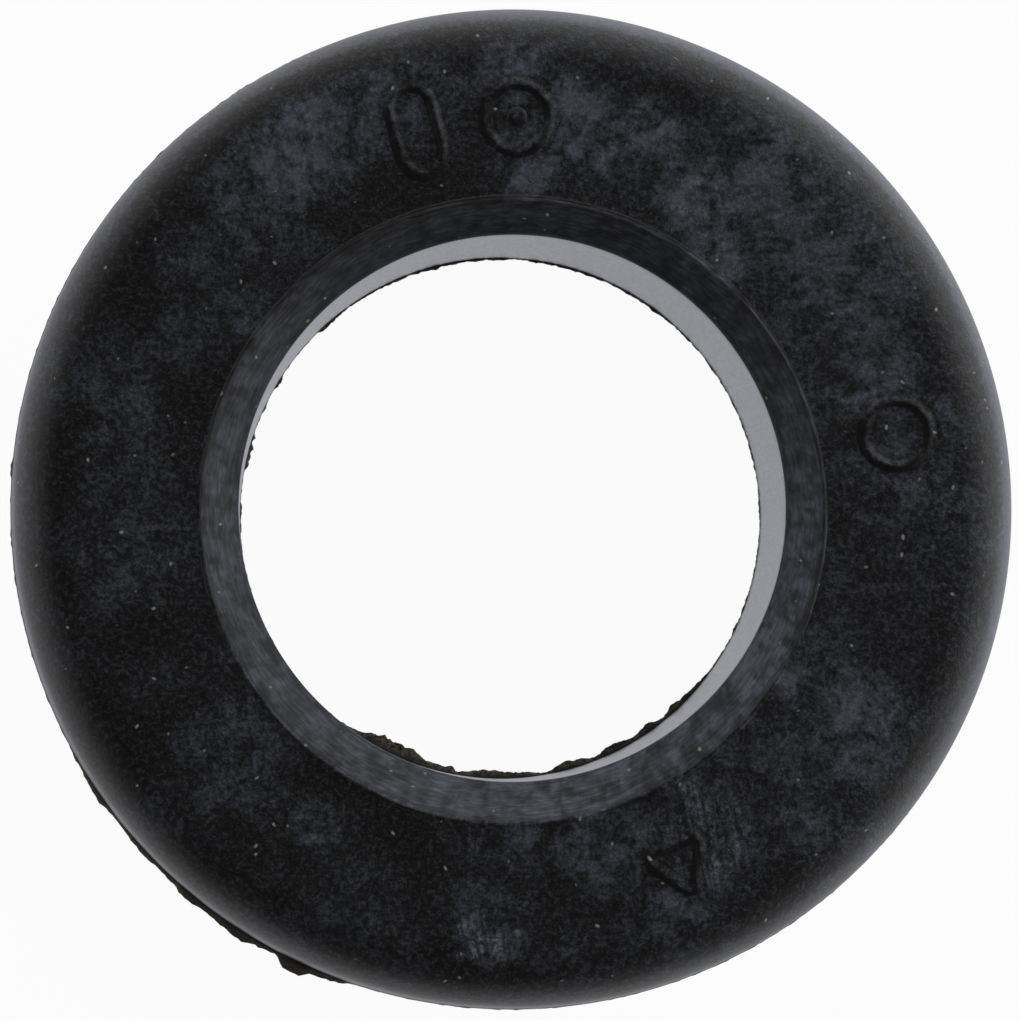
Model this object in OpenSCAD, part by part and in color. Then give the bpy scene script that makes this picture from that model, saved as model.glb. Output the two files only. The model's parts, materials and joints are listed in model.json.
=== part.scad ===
// Push-in panel grommet, moulded in one piece of black rubber.
// It stands on its lower end: the origin is on the bore's axis, in the plane of that end, and +Z runs up
// through the bore to the flange. The form is one turned section, and the mould's leavings are added to it.

/* [Bore] */
// Diameter of the straight bore, which grips the pipe
bore_d = 19; // [17:0.25:20.5]
// Width of the sloping mouth around the top of the bore, measured along the radius
mouth_w = 1.33; // [0.9:0.01:1.8]
// Depth of the mouth below the flange's flat face
mouth_h = 1; // [0.6:0.05:1.4]
// Radius of the mouth's slope, which bulges a little
mouth_bow = 4; // [2.5:0.5:12]

/* [Flange] */
// Diameter of the flange at its lower edge, where it is widest
flange_d = 35.2; // [33.6:0.1:40]
// Thickness of the flange
flange_h = 4; // [3.4:0.1:6]
// Radius of the flange's rounded upper edge
flange_round = 1.9; // [1.2:0.05:2.2]
// Draft of the flange's side wall, in degrees, so that it leaves the mould
flange_draft = 4; // [0.5:0.5:8]

/* [Neck] */
// Diameter of the neck, which the panel's hole closes on
neck_d = 25.4; // [24.6:0.1:26.6]
// Width of the groove between flange and bead, which is the panel's thickness
groove_h = 3.2; // [1.6:0.1:6]
// Radius of the fillets at the bottom of the groove
groove_fillet = 0.35; // [0.1:0.05:0.6]

/* [Bead] */
// Diameter of the bead, which snaps through the panel's hole
bead_d = 29; // [28.2:0.1:31]
// Height of the bead and its lead-in taken together
bead_h = 6; // [4.5:0.1:9]
// Height of the bead's straight land, under the groove
bead_land = 1.3; // [1:0.1:2]
// Radius of the edge between the land and the taper
bead_round = 1.5; // [0.5:0.1:2]
// Diameter at the lower end of the lead-in taper, before its edge is rounded
nose_d = 24.8; // [23.6:0.1:26]
// Radius of the lower end's outer edge
nose_round = 0.9; // [0.3:0.1:1.1]

/* [Mould leavings] */
// Thickness of the torn film that the mould left on both of its parting lines
film_t = 0.12; // [0.08:0.01:0.2]
// Width of the fine ridge around the mouth, where the core pin met the cavity
ridge_w = 0.18; // [0.16:0.01:0.3]
// Rise of that ridge over the flange's flat face
ridge_h = 0.05; // [0.02:0.01:0.08]
// Rise of the plain insert marks over the flange's flat face
mark_rise = 0.09; // [0.05:0.01:0.2]
// Distance from the marks' centres out to the start of the flange's rounded edge
mark_inset = 2; // [1.6:0.1:2.4]
// Width of a mark's raised line
mark_line = 0.5; // [0.3:0.05:0.6]
// Diameter of the round marks
mark_ring_d = 2.8; // [2.2:0.1:3.2]
// Distance between the centres of the slot mark's two ends
mark_slot_l = 1.5; // [0.5:0.1:1.8]
// Width of the slot mark
mark_slot_w = 2; // [1.6:0.1:2.4]
// Diameter of the circle that the three-cornered index mark fits in
mark_index_d = 3.6; // [3:0.1:4]
// Diameter of the dot in the middle of a dotted ring
mark_dot_d = 0.7; // [0.4:0.1:0.9]

/* [Hidden] */
$fn = 120;

rubber = [0.11, 0.11, 0.12];

// Heights of the groove's two faces and of the flange's flat face
groove_bottom = bead_h;
groove_top = groove_bottom + groove_h;
total_h = groove_top + flange_h;

// Radii of the turned section
bore_r = bore_d / 2;
mouth_r = bore_r + mouth_w;
flange_r = flange_d / 2;
neck_r = neck_d / 2;
bead_r = bead_d / 2;
nose_r = nose_d / 2;

// Radius of the flange's side wall where it would meet the flat face without the rounding
rim_r = flange_r - flange_h * tan(flange_draft);

// Corners that get a round edge: the corner before, the corner itself, the corner after and the radius
rim_edge = [[flange_r, groove_top], [rim_r, total_h], [mouth_r, total_h], flange_round];
land_edge = [[nose_r, 0], [bead_r, groove_bottom - bead_land], [bead_r, groove_bottom], bead_round];
nose_edge = [[bore_r, 0], [nose_r, 0], [bead_r, groove_bottom - bead_land], nose_round];
round_edges = [nose_edge, land_edge, rim_edge];
// Corners at the bottom of the groove, in the same form
groove_corners = [
    [[bead_r, groove_bottom], [neck_r, groove_bottom], [neck_r, groove_top], groove_fillet],
    [[neck_r, groove_bottom], [neck_r, groove_top], [flange_r, groove_top], groove_fillet]
];

// Depth to which each film and mark is rooted in the rubber that carries it
root = 0.5;

// Radius on which the marks stand, and their angles round the bore
mark_r = start_of_round() - mark_inset;
slot_angle = 104.5;
dot_ring_angle = 89.5;
ring_angle = 11;
index_angle = 295;

// Reach of the torn film into the bore, as angle and millimetres, where it changes
bore_film = [
    [0, 0.07], [20, 0.06], [36, 0.12], [50, 0.18], [53, 0.22], [54.5, 0.32], [57, 0.24], [60, 0.18],
    [72, 0.18], [80, 0.08], [86, 0.15], [102, 0.18], [130, 0.14], [133, 0.05], [145, 0.05], [148, 0.15],
    [150, 0.06], [166, 0.1], [182, 0.09], [206, 0.05], [208, 0.12], [210, 0.05], [236, 0.05], [241, 0.2],
    [243, 0.4], [250, 0.38], [252, 0.18], [255, 0.12], [259, 0.2], [262, 0.04], [270, 0.2], [274, 0.04],
    [280, 0.1], [284, 0.06], [288, 0.24], [293, 0.08], [300, 0.25], [303, 0.12], [308, 0.25], [311, 0.12],
    [316, 0.24], [324, 0.06], [340, 0.05], [352, 0.08], [360, 0.07]
];
// Reach of the torn film out of the flange's lower edge, in the same form
rim_film = [
    [204, 0], [209, 0.04], [215, 0.16], [218, 0.08], [224, 0.16], [226, 0.1], [230, 0.24], [232, 0.18],
    [235, 0.21], [238, 0.32], [240, 0.16], [242, 0.13], [243.5, 0.42], [245, 0.42], [247, 0.2],
    [250, 0.11], [252, 0]
];
// Angle between neighbouring points along a torn edge
film_step = 2;
// Height of the fine raggedness along a torn edge
film_rag = 0.012;

// A point at a radius and an angle
function polar(r, a) = [r * cos(a), r * sin(a)];
// A vector of length 1 in the same direction
function unit(v) = v / norm(v);

// Half the angle inside an edge's corner
function half_corner(e) = acos(unit(e[0] - e[1]) * unit(e[2] - e[1])) / 2;
// Where an edge's round leaves the side before the corner, and where it meets the side after
function round_start(e) = e[1] + unit(e[0] - e[1]) * e[3] / tan(half_corner(e));
function round_end(e) = e[1] + unit(e[2] - e[1]) * e[3] / tan(half_corner(e));
// Centre of an edge's round
function round_centre(e) = e[1] + unit(unit(e[0] - e[1]) + unit(e[2] - e[1])) * e[3] / sin(half_corner(e));
// Radius at which the flange's flat face ends and its round begins
function start_of_round() = round_end(rim_edge)[0];

// Fine raggedness of a torn edge at an angle, from 0 to 1
function ragged(a) = (2 + sin(a * 31) + sin(a * 53 + 70)) / 4;

// Straight-sided outline of the turned section, with its round corners cut off at their arcs' ends
module section_outline() {
    polygon([
        [bore_r, 0],
        round_start(nose_edge),
        round_end(nose_edge),
        round_start(land_edge),
        round_end(land_edge),
        [bead_r, groove_bottom],
        [neck_r, groove_bottom],
        [neck_r, groove_top],
        [flange_r, groove_top],
        round_start(rim_edge),
        round_end(rim_edge),
        [bore_r, total_h]
    ]);
}

// Rubber that fills a corner of the groove up to its fillet
module fillet_at(e) {
    difference() {
        polygon([e[1], round_start(e), round_centre(e), round_end(e)]);
        translate(round_centre(e)) circle(r = e[3]);
    }
}

// What the core pin's shoulder leaves free above the mouth, down to its slightly bulging slope
module mouth_space() {
    low = [bore_r, total_h - mouth_h];
    high = [mouth_r, total_h];
    slope = high - low;
    rise = sqrt(pow(mouth_bow, 2) - pow(norm(slope) / 2, 2));
    into_rubber = unit([slope[1], -slope[0]]);
    difference() {
        polygon([low, high, [bore_r, total_h]]);
        translate((low + high) / 2 + into_rubber * rise) circle(r = mouth_bow);
    }
}

// Section of the fine ridge around the mouth, a bead that stands mostly inside the flange
module ridge_section() {
    translate([mouth_r + ridge_w / 2, total_h + ridge_h - ridge_w / 2]) circle(d = ridge_w);
}

// The whole section on one side of the axis
module section() {
    difference() {
        union() {
            section_outline();
            for (e = round_edges) translate(round_centre(e)) circle(r = e[3]);
            for (e = groove_corners) fillet_at(e);
        }
        mouth_space();
    }
    ridge_section();
}

// Film left inside the lower end of the bore, torn off unevenly
module torn_bore_film() {
    linear_extrude(film_t)
        difference() {
            circle(r = bore_r + root);
            polygon([
                for (a = [0:film_step:360 - film_step])
                    polar(bore_r - lookup(a, bore_film) - film_rag * ragged(a), a)
            ]);
        }
}

// Film left along part of the flange's lower edge, torn off unevenly
module torn_rim_film() {
    first = rim_film[0][0];
    last = rim_film[len(rim_film) - 1][0];
    translate([0, 0, groove_top])
        linear_extrude(film_t)
            polygon(concat(
                [for (a = [first:film_step / 2:last])
                    polar(flange_r + lookup(a, rim_film) + film_rag * (ragged(a) - 0.5), a)],
                [polar(flange_r - root, last), polar(flange_r - root, first)]
            ));
}

// Stands a flat mark on the flange's face at an angle round the bore, with its top away from the bore
module on_flange(angle) {
    rotate(angle - 90)
        translate([0, mark_r, total_h - root])
            linear_extrude(root + mark_rise)
                children();
}

// Raised ring, with a dot in its middle where one is wanted
module ring_mark(dot) {
    difference() {
        circle(d = mark_ring_d);
        circle(d = mark_ring_d - 2 * mark_line);
    }
    if (dot) circle(d = mark_dot_d);
}

// Filled slot, smaller all round by its inset
module slot_shape(inset) {
    square([mark_slot_w - 2 * inset, mark_slot_l], center = true);
    for (end = [-1, 1])
        translate([0, end * mark_slot_l / 2])
            circle(d = mark_slot_w - 2 * inset);
}

// Raised outline of a slot that points to the bore
module slot_mark() {
    difference() {
        slot_shape(0);
        slot_shape(mark_line);
    }
}

// Raised three-cornered outline that points away from the bore
module index_mark() {
    // A triangle whose sides move in by one line's width loses four widths of the circle around it
    inner_d = mark_index_d - 4 * mark_line;
    rotate(90)
        difference() {
            circle(d = mark_index_d, $fn = 3);
            circle(d = inner_d, $fn = 3);
        }
}

module grommet() {
    color(rubber) {
        rotate_extrude() section();
        torn_bore_film();
        torn_rim_film();
        on_flange(slot_angle) slot_mark();
        on_flange(dot_ring_angle) ring_mark(true);
        on_flange(ring_angle) ring_mark(false);
        on_flange(index_angle) index_mark();
    }
}

grommet();
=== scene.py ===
# %% [markdown]
# # A moulded rubber grommet
#
# The object is a ring of black rubber that is pressed into a hole in a sheet of metal and seals a pipe.
# It came out of its mould in one piece, so here it is one mesh too: a section swept round an axis, with
# the thin film that the mould left on its edges and a few shallow marks on its face. The solid model
# holds the true sizes. This script gives it the finish of the real one: matte rubber with a grey bloom.

# %% Load the fixed frame
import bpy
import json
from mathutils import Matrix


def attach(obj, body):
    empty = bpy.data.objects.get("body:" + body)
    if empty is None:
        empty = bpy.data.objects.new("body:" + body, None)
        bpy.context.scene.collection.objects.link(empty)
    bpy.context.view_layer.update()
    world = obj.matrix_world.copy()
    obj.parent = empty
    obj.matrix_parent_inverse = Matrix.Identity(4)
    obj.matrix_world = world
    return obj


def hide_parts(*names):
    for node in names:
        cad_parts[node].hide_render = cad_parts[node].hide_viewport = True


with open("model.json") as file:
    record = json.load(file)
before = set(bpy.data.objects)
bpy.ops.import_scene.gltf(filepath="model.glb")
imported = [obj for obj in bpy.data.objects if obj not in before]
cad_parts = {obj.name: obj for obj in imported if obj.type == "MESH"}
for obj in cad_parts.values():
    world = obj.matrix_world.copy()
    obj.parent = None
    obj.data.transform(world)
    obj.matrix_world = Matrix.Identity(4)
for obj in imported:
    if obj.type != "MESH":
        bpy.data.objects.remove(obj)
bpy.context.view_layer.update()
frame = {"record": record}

# %% Modules
import json
import math

import bmesh
import bpy
from mathutils import Matrix, Vector

# %% [markdown]
# ## Sizes
#
# Blender works in metres, and a grommet is drawn in millimetres, so each size is written in millimetres
# and `MM` turns it into metres. They are the sizes of the solid model, which this mesh has to match. The
# bore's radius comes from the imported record, because the record says what pipe the bore is made for.

# %% Sizes of the section
MM = 0.001
bore_mount = next(mount for mount in frame["record"]["mounts"] if mount["name"] == "bore")
BORE_R = bore_mount["dims"]["r_mm"]
MOUTH_WIDTH = 1.33
MOUTH_DEPTH = 1.0
MOUTH_BOW = 4.0
FLANGE_R = 17.6
FLANGE_HEIGHT = 4.0
FLANGE_ROUND = 1.9
FLANGE_DRAFT = math.radians(4)
NECK_R = 12.7
GROOVE_WIDTH = 3.2
GROOVE_FILLET = 0.35
BEAD_R = 14.5
BEAD_HEIGHT = 6.0
BEAD_LAND = 1.3
BEAD_ROUND = 1.5
NOSE_R = 12.4
NOSE_ROUND = 0.9
FILM_THICKNESS = 0.12
RIDGE_WIDTH = 0.18
RIDGE_RISE = 0.05

GROOVE_TOP = BEAD_HEIGHT + GROOVE_WIDTH
TOTAL_HEIGHT = GROOVE_TOP + FLANGE_HEIGHT
MOUTH_R = BORE_R + MOUTH_WIDTH
RIM_R = FLANGE_R - FLANGE_HEIGHT * math.tan(FLANGE_DRAFT)
SLOPE_FOOT = TOTAL_HEIGHT - MOUTH_DEPTH
print("height", TOTAL_HEIGHT, "mm, mouth", round(2 * MOUTH_R, 2), "mm across")

# %% New objects
def new_object(name, data):
    """An object that holds some data, linked to the scene."""
    made = bpy.data.objects.new(name, data)
    bpy.context.scene.collection.objects.link(made)
    return made


# %% [markdown]
# ## Camera
#
# The photograph looks almost straight down. The bore's lower end shows 5 percent smaller than its upper
# end and a little to the lower left, which fixes how far the camera was and over which point it stood.
# The lens is then long enough for the ring to fill the square frame. The aim is nearly at the middle of
# the bore, so no lens shift is needed.

# %% Camera
CAMERA_PLACE = Vector((-8.90, -7.00, 252.2)) * MM
CAMERA_AIM = Vector((-0.09, -0.06, 12.2)) * MM
SENSOR_WIDTH = 36
LENS = 244.1
camera_data = bpy.data.cameras.new("camera")
camera_data.sensor_width = SENSOR_WIDTH
camera_data.lens = LENS
camera = new_object("camera", camera_data)
camera.location = CAMERA_PLACE
backwards = (CAMERA_PLACE - CAMERA_AIM).normalized()
rightwards = Vector((0, 1, 0)).cross(backwards).normalized()
upwards = backwards.cross(rightwards)
camera.rotation_euler = Matrix((rightwards, upwards, backwards)).transposed().to_euler()
bpy.context.scene.camera = camera
print("camera to aim:", round((CAMERA_AIM - CAMERA_PLACE).length / MM, 1), "mm")

# %% [markdown]
# ## Values and nodes
#
# Materials and Geometry Nodes are both trees of nodes. Here a `Value` stands for what comes out of a node,
# and arithmetic with it adds the node that works it out, so that a tree reads like the formula that it
# stands for. Wherever a value may stand, so may a plain number, or three of them for a vector.

# %% Values and nodes
def wire(socket, source):
    """Feed a socket with another node's value or with a plain one."""
    if isinstance(source, Value):
        socket.id_data.links.new(source.socket, socket)
    else:
        socket.default_value = source


def add(tree, kind, output, sources=None, **settings):
    """Add a node, set its properties, feed its inputs, and give one of its outputs."""
    made = tree.nodes.new(kind)
    for name, value in settings.items():
        setattr(made, name, value)
    for name, source in (sources or {}).items():
        wire(made.inputs[name], source)
    return Value(made.outputs[output])


def is_vector(value):
    """Whether a value is a vector or a colour, from a node or as three plain numbers."""
    if isinstance(value, Value):
        return value.socket.type in ("VECTOR", "RGBA")
    return isinstance(value, tuple)


class Value:
    """What comes out of a node. Each step of arithmetic with it adds a node to its tree."""

    def __init__(self, socket):
        self.socket = socket
        self.tree = socket.id_data

    def step(self, operation, *others):
        """The result of one Math or Vector Math node that starts from this value."""
        sources = dict(enumerate((self, *others)))
        if not is_vector(self):
            return add(self.tree, "ShaderNodeMath", "Value", sources, operation=operation)
        output = "Value" if operation in ("LENGTH", "DISTANCE", "DOT_PRODUCT") else "Vector"
        return add(self.tree, "ShaderNodeVectorMath", output, sources, operation=operation)

    def __add__(self, other):
        return self.step("ADD", other)

    def __sub__(self, other):
        return self.step("SUBTRACT", other)

    def __truediv__(self, other):
        return self.step("DIVIDE", other)

    def __mul__(self, other):
        if is_vector(self) == is_vector(other):
            return self.step("MULTIPLY", other)
        vector, factor = (self, other) if is_vector(self) else (other, self)
        sources = {0: vector, "Scale": factor}
        return add(self.tree, "ShaderNodeVectorMath", "Vector", sources, operation="SCALE")

    def at_least(self, other):
        return self.step("MAXIMUM", other)

    def remap(self, low, high, to_low=0.0, to_high=1.0):
        """Turn the span from low to high into another span, with soft ends."""
        sources = {"Value": self, "From Min": low, "From Max": high, "To Min": to_low, "To Max": to_high}
        return add(self.tree, "ShaderNodeMapRange", "Result", sources, interpolation_type="SMOOTHSTEP")

    def noise(self, scale, detail=2.0, roughness=0.5, distortion=0.0, output="Fac"):
        """Cloudy noise at this place, as a number or a colour about a half."""
        sources = {"Vector": self, "Scale": scale, "Detail": detail, "Roughness": roughness}
        return add(self.tree, "ShaderNodeTexNoise", output, {**sources, "Distortion": distortion})

    def split(self):
        """The X, Y and Z of a vector."""
        made = self.tree.nodes.new("ShaderNodeSeparateXYZ")
        wire(made.inputs["Vector"], self)
        return [Value(socket) for socket in made.outputs]


def join(x, y, z):
    """A vector from its X, Y and Z, of which one at least comes from a node."""
    tree = next(part.tree for part in (x, y, z) if isinstance(part, Value))
    return add(tree, "ShaderNodeCombineXYZ", "Vector", {"X": x, "Y": y, "Z": z})


def blend(share, low, high):
    """A number between two others."""
    return add(share.tree, "ShaderNodeMix", 0, {0: share, 2: low, 3: high}, data_type="FLOAT")


def blend_vector(share, low, high):
    """A vector or a colour between two others."""
    return add(share.tree, "ShaderNodeMix", 1, {0: share, 4: low, 5: high}, data_type="VECTOR")


# %% A point's place on the moulding
class Spot:
    """Where a point lies, in the forms that the trees need."""

    def __init__(self, place):
        self.place = place
        x, y, self.z = place.split()
        self.level = join(x, y, 0)
        self.from_axis = self.level.step("LENGTH")
        self.outwards = self.level.step("NORMALIZE")

    def by_side(self, degrees, *spans):
        """A number that goes by how near a point's side of the axis is to a compass direction."""
        turn = math.radians(degrees)
        nearness = self.outwards.step("DOT_PRODUCT", (math.cos(turn), math.sin(turn), 0))
        return nearness.remap(*spans)


# %% [markdown]
# ## Section
#
# A turned part is drawn as half of its cross-section. The section here is a closed loop of points, each
# with its distance from the axis and its height. Straight sides are divided, so that the surface can be
# bent a little later, and corners are rounded by arcs. Real rubber has no knife edge, so corners that are
# sharp on the drawing get a tiny round as well. Two more numbers say how far a point follows the torn
# films that the mould left: they are 1 at a film's tip and 0 nearly everywhere else.

# %% Drawing a section
class Section:
    """A closed outline of points: radius, height, and the shares of the bore's and the rim's film."""

    def __init__(self):
        self.points = []

    def add(self, radius, height, bore_film=0.0, rim_film=0.0):
        self.points.append((radius, height, bore_film, rim_film))

    def line_to(self, radius, height, parts):
        """Divide a straight side that ends at a point."""
        start = Vector(self.points[-1][:2])
        end = Vector((radius, height))
        for step in range(1, parts + 1):
            place = start.lerp(end, step / parts)
            self.add(place.x, place.y)

    def round_to(self, corner, after, radius, parts_before, parts):
        """Run straight towards a corner, and round it off on the way to the next one."""
        corner = Vector(corner)
        to_before = (Vector(self.points[-1][:2]) - corner).normalized()
        to_after = (Vector(after) - corner).normalized()
        half = to_before.angle(to_after) / 2
        centre = corner + (to_before + to_after).normalized() * radius / math.sin(half)
        first = corner + to_before * radius / math.tan(half)
        last = corner + to_after * radius / math.tan(half)
        self.line_to(first.x, first.y, parts_before)
        turn = (first - centre).angle_signed(last - centre)
        for step in range(1, parts + 1):
            place = centre + Matrix.Rotation(-turn * step / parts, 2) @ (first - centre)
            self.add(place.x, place.y)


# %% Lower end and bead
SMALL_ROUND = 0.12
nose_corner = (NOSE_R, 0)
taper_end = (BEAD_R, BEAD_HEIGHT - BEAD_LAND)
bead_top = (BEAD_R, BEAD_HEIGHT)
section = Section()
section.add(BORE_R, 0)
section.round_to(nose_corner, taper_end, NOSE_ROUND, parts_before=3, parts=8)
section.round_to(taper_end, bead_top, BEAD_ROUND, parts_before=5, parts=4)
section.round_to(bead_top, (NECK_R, BEAD_HEIGHT), SMALL_ROUND, parts_before=1, parts=3)
print("points up to the groove:", len(section.points))

# %% Groove for the panel
neck_low = (NECK_R, BEAD_HEIGHT)
neck_high = (NECK_R, GROOVE_TOP)
section.round_to(neck_low, neck_high, GROOVE_FILLET, parts_before=2, parts=4)
section.round_to(neck_high, (FLANGE_R, GROOVE_TOP), GROOVE_FILLET, parts_before=3, parts=4)
section.line_to(FLANGE_R, GROOVE_TOP, parts=4)
print("groove:", GROOVE_WIDTH, "mm wide over a neck of", 2 * NECK_R, "mm")

# %% Film on the flange's lower edge, then the flange's wall, round and flat face
# Heights in a film, as shares of its thickness: its blunt tip, and where it thins out towards the wall
FILM_TIP = 0.4
RIM_FILM_BACK = 0.7
BORE_FILM_BACK = 0.8
# Share of the film's reach at its back
BACK_SHARE = 0.5
section.add(FLANGE_R, GROOVE_TOP, rim_film=1)
section.add(FLANGE_R, GROOVE_TOP + FILM_THICKNESS * FILM_TIP, rim_film=1)
section.add(FLANGE_R, GROOVE_TOP + FILM_THICKNESS * RIM_FILM_BACK, rim_film=BACK_SHARE)
section.add(FLANGE_R - FILM_THICKNESS * math.tan(FLANGE_DRAFT), GROOVE_TOP + FILM_THICKNESS)
section.round_to((RIM_R, TOTAL_HEIGHT), (MOUTH_R, TOTAL_HEIGHT), FLANGE_ROUND, parts_before=4, parts=18)
face_start = section.points[-1][0]
section.line_to(MOUTH_R + RIDGE_WIDTH, TOTAL_HEIGHT, parts=30)
print("the flange's flat face ends", round(face_start, 3), "mm from the axis")

# %% Fine ridge around the mouth, and the mouth's slope, which bulges a little
RIDGE_PARTS = 5
for step in range(1, RIDGE_PARTS):
    share = step / RIDGE_PARTS
    rise = RIDGE_RISE * math.sin(math.pi * share)
    section.add(MOUTH_R + RIDGE_WIDTH * (1 - share), TOTAL_HEIGHT + rise)
MOUTH_PARTS = 8
mouth_top = Vector((MOUTH_R, TOTAL_HEIGHT))
mouth_low = Vector((BORE_R, SLOPE_FOOT))
slope = mouth_low - mouth_top
out_of_rubber = Vector((slope.y, -slope.x)).normalized()
bow_depth = math.sqrt(MOUTH_BOW ** 2 - (slope.length / 2) ** 2)
for step in range(MOUTH_PARTS):
    along = step / MOUTH_PARTS
    bulge = math.sqrt(MOUTH_BOW ** 2 - (slope.length * (along - 0.5)) ** 2) - bow_depth
    place = mouth_top + slope * along + out_of_rubber * bulge
    section.add(place.x, place.y)

# %% Bore, down to the film on its lower edge
section.round_to(mouth_low, (BORE_R, 0), SMALL_ROUND, parts_before=1, parts=3)
section.line_to(BORE_R, FILM_THICKNESS, parts=12)
section.add(BORE_R, FILM_THICKNESS * BORE_FILM_BACK, bore_film=BACK_SHARE)
section.add(BORE_R, FILM_THICKNESS * FILM_TIP, bore_film=1)
section.add(BORE_R, 0, bore_film=1)
print("points in the section:", len(section.points))

# %% [markdown]
# ## Torn film
#
# Where two halves of a mould meet, a little rubber creeps between them and cures as a film. It is torn
# off by hand, so what stays has a ragged edge. Its reach in millimetres is listed where it changes, by
# the angle round the axis. The one in the bore goes all the way round. The one on the rim shows along an
# eighth of it, at the lower left, and as a small nub on the left.

# %% Reach of the films
BORE_FILM = [
    (0, 0.03), (40, 0.035), (52.5, 0.06), (54, 0.1), (55, 0.06), (70, 0.07), (90, 0.065), (102, 0.07),
    (105, 0.13), (108, 0.06), (127, 0.05), (130, 0.1), (134, 0.11), (135, 0.02), (146, 0.02), (148, 0.1),
    (149.5, 0.09), (150.5, 0.02), (154, 0.02), (155, 0.06), (157, 0.02), (161, 0.03), (162, 0.11),
    (163, 0.06), (164.5, 0.16), (165.2, 0.06), (166.5, 0.13), (168.5, 0.11), (170, 0.02), (176, 0.02),
    (178, 0.08), (180, 0.05), (182, 0.08), (184, 0.03), (206, 0.04), (208.5, 0.1), (210, 0.04),
    (231, 0.05), (234, 0.12), (237, 0.21), (240, 0.4), (243, 0.5), (249, 0.49), (251, 0.32), (254, 0.24),
    (257, 0.22), (259, 0.28), (260.3, 0.12), (262, 0.18), (265, 0.28), (268, 0.3), (270, 0.26),
    (275, 0.19), (280, 0.08), (285, 0.31), (288, 0.25), (291, 0.12), (296, 0.31), (299, 0.23),
    (301, 0.14), (305, 0.28), (309, 0.1), (313, 0.24), (318, 0.15), (322, 0.07), (330, 0.04), (360, 0.03),
]
RIM_FILM = [
    (0, 0.01), (174.5, 0.01), (175.5, 0.08), (177, 0.01), (204, 0.01), (209, 0.04), (215, 0.16),
    (218, 0.08), (224, 0.16), (226, 0.1), (230, 0.24), (232, 0.18), (235, 0.21), (238, 0.32), (240, 0.16),
    (242, 0.13), (243.5, 0.42), (245, 0.42), (247, 0.2), (250, 0.11), (252, 0.01), (360, 0.01),
]


def reach_at(degrees, table):
    """Read a table of angles and reaches, with soft turns at its entries."""
    for (low, reach), (high, next_reach) in zip(table, table[1:]):
        if degrees <= high:
            share = (1 - math.cos(math.pi * (degrees - low) / (high - low))) / 2
            return reach + (next_reach - reach) * share
    return table[-1][1]


for name, table in (("bore", BORE_FILM), ("rim", RIM_FILM)):
    print("longest reach of the", name + "'s film:", max(reach for _, reach in table), "mm")


# %% [markdown]
# The section and the circle that it is swept round are plain loops of points. What belongs to a point of
# the section, or to an angle of the circle, is stored on it as an attribute. The sweep carries both kinds
# of attribute to the surface, where they are multiplied: share times reach is how far a point moves.

# %% Loops with attributes
def loop_object(name, places, attributes):
    """A closed loop of points, in millimetres, with one named number for each point."""
    count = len(places)
    mesh = bpy.data.meshes.new(name)
    edges = [(index, (index + 1) % count) for index in range(count)]
    mesh.from_pydata([tuple(place) for place in places], edges, [])
    for attribute, values in attributes.items():
        stored = mesh.attributes.new(attribute, "FLOAT", "POINT")
        stored.data.foreach_set("value", values)
    return new_object(name, mesh)


AROUND = 720
turns = [360 * index / AROUND for index in range(AROUND)]
circle_places = [Matrix.Rotation(math.radians(turn), 3, "Z") @ Vector((BORE_R, 0, 0)) for turn in turns]
section_loop = loop_object(
    "section",
    [(radius, 0, height) for radius, height, _, _ in section.points],
    {
        "bore_share": [bore_film for _, _, bore_film, _ in section.points],
        "rim_share": [rim_film for _, _, _, rim_film in section.points],
    },
)
circle_loop = loop_object(
    "circle",
    circle_places,
    {
        "bore_reach": [reach_at(turn, BORE_FILM) for turn in turns],
        "rim_reach": [reach_at(turn, RIM_FILM) for turn in turns],
    },
)
print("points round the axis:", AROUND)

# %% [markdown]
# ## Marks on the face
#
# The face carries shallow raised marks from the mould's inserts. Here they are plain shapes: a slot, a
# ring with a dot, a ring and a three-cornered outline. Each is a line of rubber that follows a closed
# path, so Geometry Nodes sweep a flat bell along it, and the dot is a flattened ball. The bell's sides run
# out into the face, as rubber does when it flows into a shallow cut in the mould.

# %% Sizes of the marks in millimetres and their angles, under the names of their tree's inputs
MARK_INSET = 2.0
MARK_SIZES = {
    "Place radius": face_start - MARK_INSET,
    "Face height": TOTAL_HEIGHT,
    "Line width": 0.5,
    "Line step": 0.12,
    "Rise": 0.09,
    "Root": 0.15,
    "Ring diameter": 2.8,
    "Slot length": 1.5,
    "Slot width": 2.0,
    "Index diameter": 3.6,
    "Index corner": 0.25,
    "Dot diameter": 0.7,
    "Slot angle": math.radians(104.5),
    "Dotted ring angle": math.radians(89.5),
    "Ring angle": math.radians(11),
    "Index angle": math.radians(295),
}
print("the marks' centres are", round(MARK_SIZES["Place radius"], 3), "mm from the axis")


# %% Geometry Nodes helpers
def new_tree(name, inputs):
    """An empty tree with a geometry output, its named inputs and its output's socket. An input is given
    as what it starts from, or as its socket's type where it has nothing to start from."""
    tree = bpy.data.node_groups.new(name, "GeometryNodeTree")
    for label, value in inputs.items():
        kind = value if isinstance(value, str) else "NodeSocketFloat"
        if isinstance(value, tuple):
            kind = "NodeSocketVector"
        socket = tree.interface.new_socket(label, in_out="INPUT", socket_type=kind)
        if kind != value:
            socket.default_value = value
    tree.interface.new_socket("Geometry", in_out="OUTPUT", socket_type="NodeSocketGeometry")
    given = {socket.name: Value(socket) for socket in tree.nodes.new("NodeGroupInput").outputs}
    result = tree.nodes.new("NodeGroupOutput").inputs["Geometry"]
    return tree, given, result


def shape(tree, kind, sources, **settings):
    """Add one of Geometry Nodes' own nodes and give the geometry that it makes."""
    return add(tree, "GeometryNode" + kind, 0, sources, **settings)


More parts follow.
